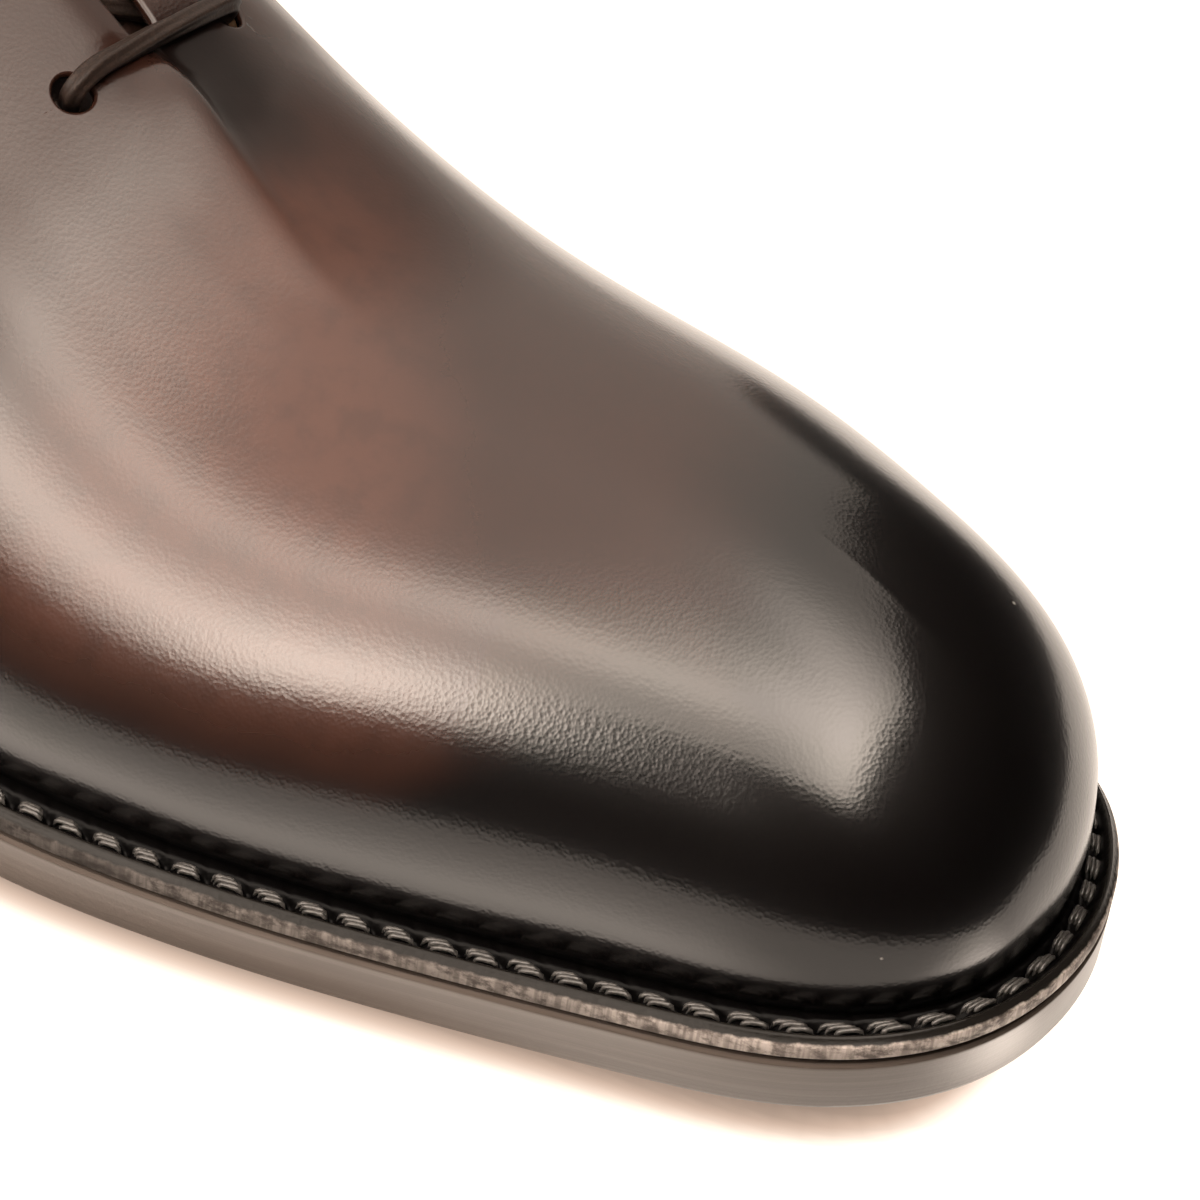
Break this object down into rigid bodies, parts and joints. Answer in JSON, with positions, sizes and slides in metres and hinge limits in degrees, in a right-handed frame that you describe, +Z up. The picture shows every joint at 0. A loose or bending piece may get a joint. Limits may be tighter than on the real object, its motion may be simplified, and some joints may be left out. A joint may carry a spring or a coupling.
{
  "type": "plain-toe oxford shoe",
  "caption": "Plain-toe lace-up oxford with a one-piece leather upper, narrow throat, stitched welt, leather sole and stacked heel.",
  "frame": {"origin": "on the floor under the middle of the shoe's plan", "axes": "+X from heel to toe, +Y to the outer side of the foot, +Z up from the floor"},
  "size_m": [0.2982, 0.0974, 0.1167],
  "materials": {
    "upper_leather": "polished calf, burnished darker at the toe and lower edge",
    "tongue_leather": "satin calf",
    "insole_leather": "matte vegetable-tanned",
    "welt_leather": "waxed, dyed dark, bevelled edge",
    "sole_leather": "trimmed edge with fine lines",
    "heel_leather": "waxed stacked edge",
    "heel_rubber": "matte moulded",
    "lace_cord": "round waxed cotton"
  },
  "bodies": {
    "root": {"upper": "upper_leather", "tongue": "tongue_leather", "insole": "insole_leather", "welt": "welt_leather", "outsole": "sole_leather", "heel_stack": "heel_leather", "top_piece": "heel_rubber", "lace": "lace_cord"}
  },
  "joints": []
}
